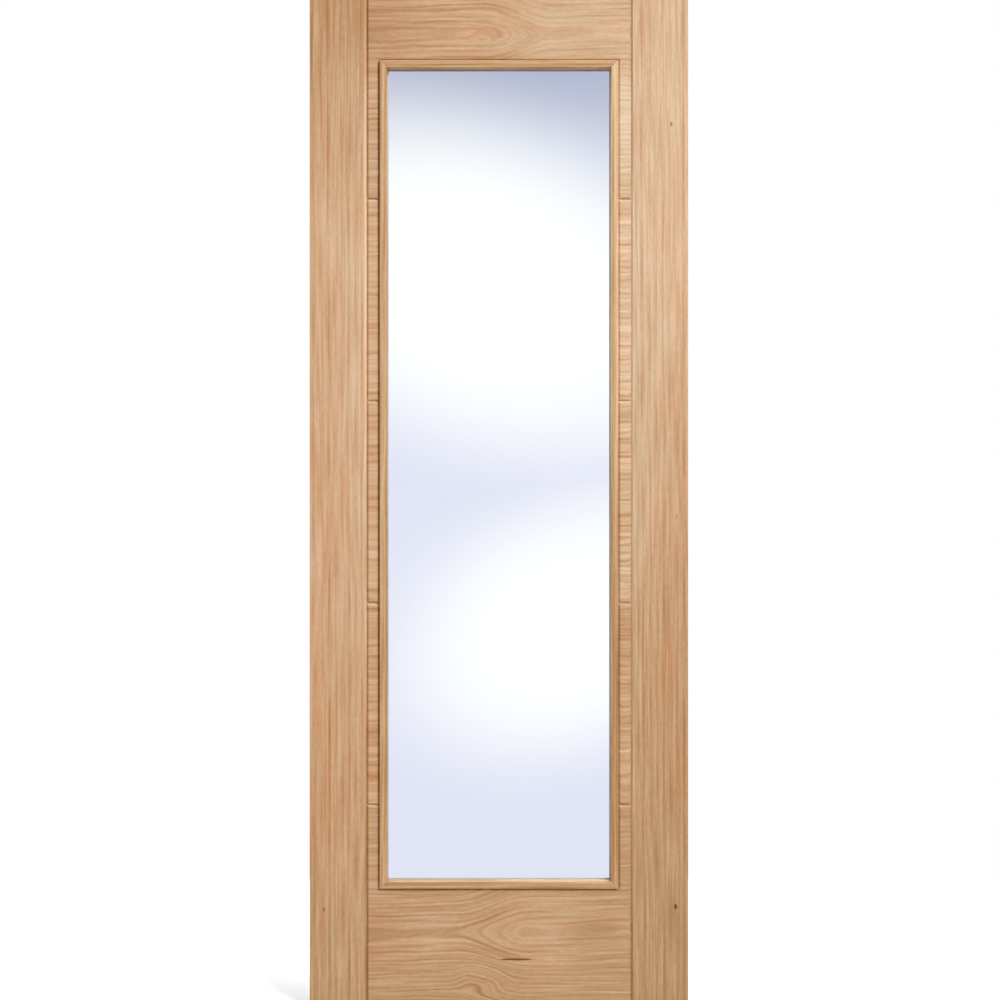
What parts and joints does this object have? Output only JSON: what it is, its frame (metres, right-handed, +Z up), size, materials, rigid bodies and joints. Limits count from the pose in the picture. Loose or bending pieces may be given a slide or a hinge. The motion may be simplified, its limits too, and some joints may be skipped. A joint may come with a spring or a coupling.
{
  "type": "glazed oak door leaf",
  "caption": "Flat oak door leaf with grooved cross-grained boards between upright stiles and one tall clear light held in raised mitred beads.",
  "frame": {"origin": "on the flat face of the hanging edge, at the foot of the leaf and half way through its thickness", "axes": "+Z up the leaf, +X from the hanging edge to the closing edge, -Y out of the front face"},
  "size_m": [0.762, 0.048, 2.032],
  "materials": {
    "oak_stile": "satin",
    "oak_lipping": "satin",
    "oak_board": "satin",
    "oak_bead": "satin",
    "clear_glass": "polished",
    "glazing_tape": "matte",
    "setting_block": "matte"
  },
  "bodies": {
    "root": {"hanging_stile": "oak_stile", "closing_stile": "oak_stile", "hanging_edge_lipping": "oak_lipping", "closing_edge_lipping": "oak_lipping", "top_board": "oak_board", "bottom_board": "oak_board", "left_board_2": "oak_board", "left_board_3": "oak_board", "left_board_4": "oak_board", "right_board_2": "oak_board", "right_board_3": "oak_board", "right_board_4": "oak_board", "front_top_bead": "oak_bead", "front_bottom_bead": "oak_bead", "front_left_bead": "oak_bead", "front_right_bead": "oak_bead", "back_top_bead": "oak_bead", "back_bottom_bead": "oak_bead", "back_left_bead": "oak_bead", "back_right_bead": "oak_bead", "glass_pane": "clear_glass", "front_glazing_tape": "glazing_tape", "back_glazing_tape": "glazing_tape", "left_setting_block": "setting_block", "right_setting_block": "setting_block"}
  },
  "joints": []
}
